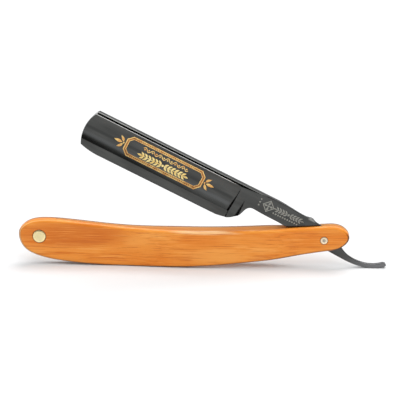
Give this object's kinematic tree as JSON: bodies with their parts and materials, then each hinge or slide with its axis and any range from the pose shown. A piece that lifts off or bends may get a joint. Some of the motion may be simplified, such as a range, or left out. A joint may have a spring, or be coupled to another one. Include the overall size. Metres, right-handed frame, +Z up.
{
  "type": "straight razor",
  "caption": "Folding straight razor with a hollow-ground blade, curved tail and bowed wooden handle, the blade swinging on a pin between two scales.",
  "frame": {"origin": "on the surface the razor stands on, under the middle of its overall length and midway between the two scales", "axes": "+X along the handle towards the pivot and the tail, +Y towards the back scale, +Z up; the razor stands on the belly of its handle and on its tail with the blade swung open"},
  "size_m": [0.1693, 0.01, 0.0724],
  "materials": {
    "handle_wood": "satin varnish",
    "blade_steel": "mirror polished, dark",
    "brass": "polished",
    "pin_steel": "satin"
  },
  "bodies": {
    "handle": {"front_scale": "handle_wood", "back_scale": "handle_wood", "wedge": "handle_wood", "wedge_rivet_post": "brass", "wedge_rivet_sleeve": "brass", "pivot_pin": "pin_steel", "front_pivot_washer": "brass", "back_pivot_washer": "brass", "front_inner_washer": "brass", "back_inner_washer": "brass"},
    "blade": {"blade": "blade_steel"}
  },
  "joints": [
    {"name": "blade_pivot", "type": "hinge", "parent": "handle", "child": "blade", "pos_m": [0.0558, 0, 0.0138], "axis": [0, 1, 0], "range_deg": [-23, 308]}
  ]
}
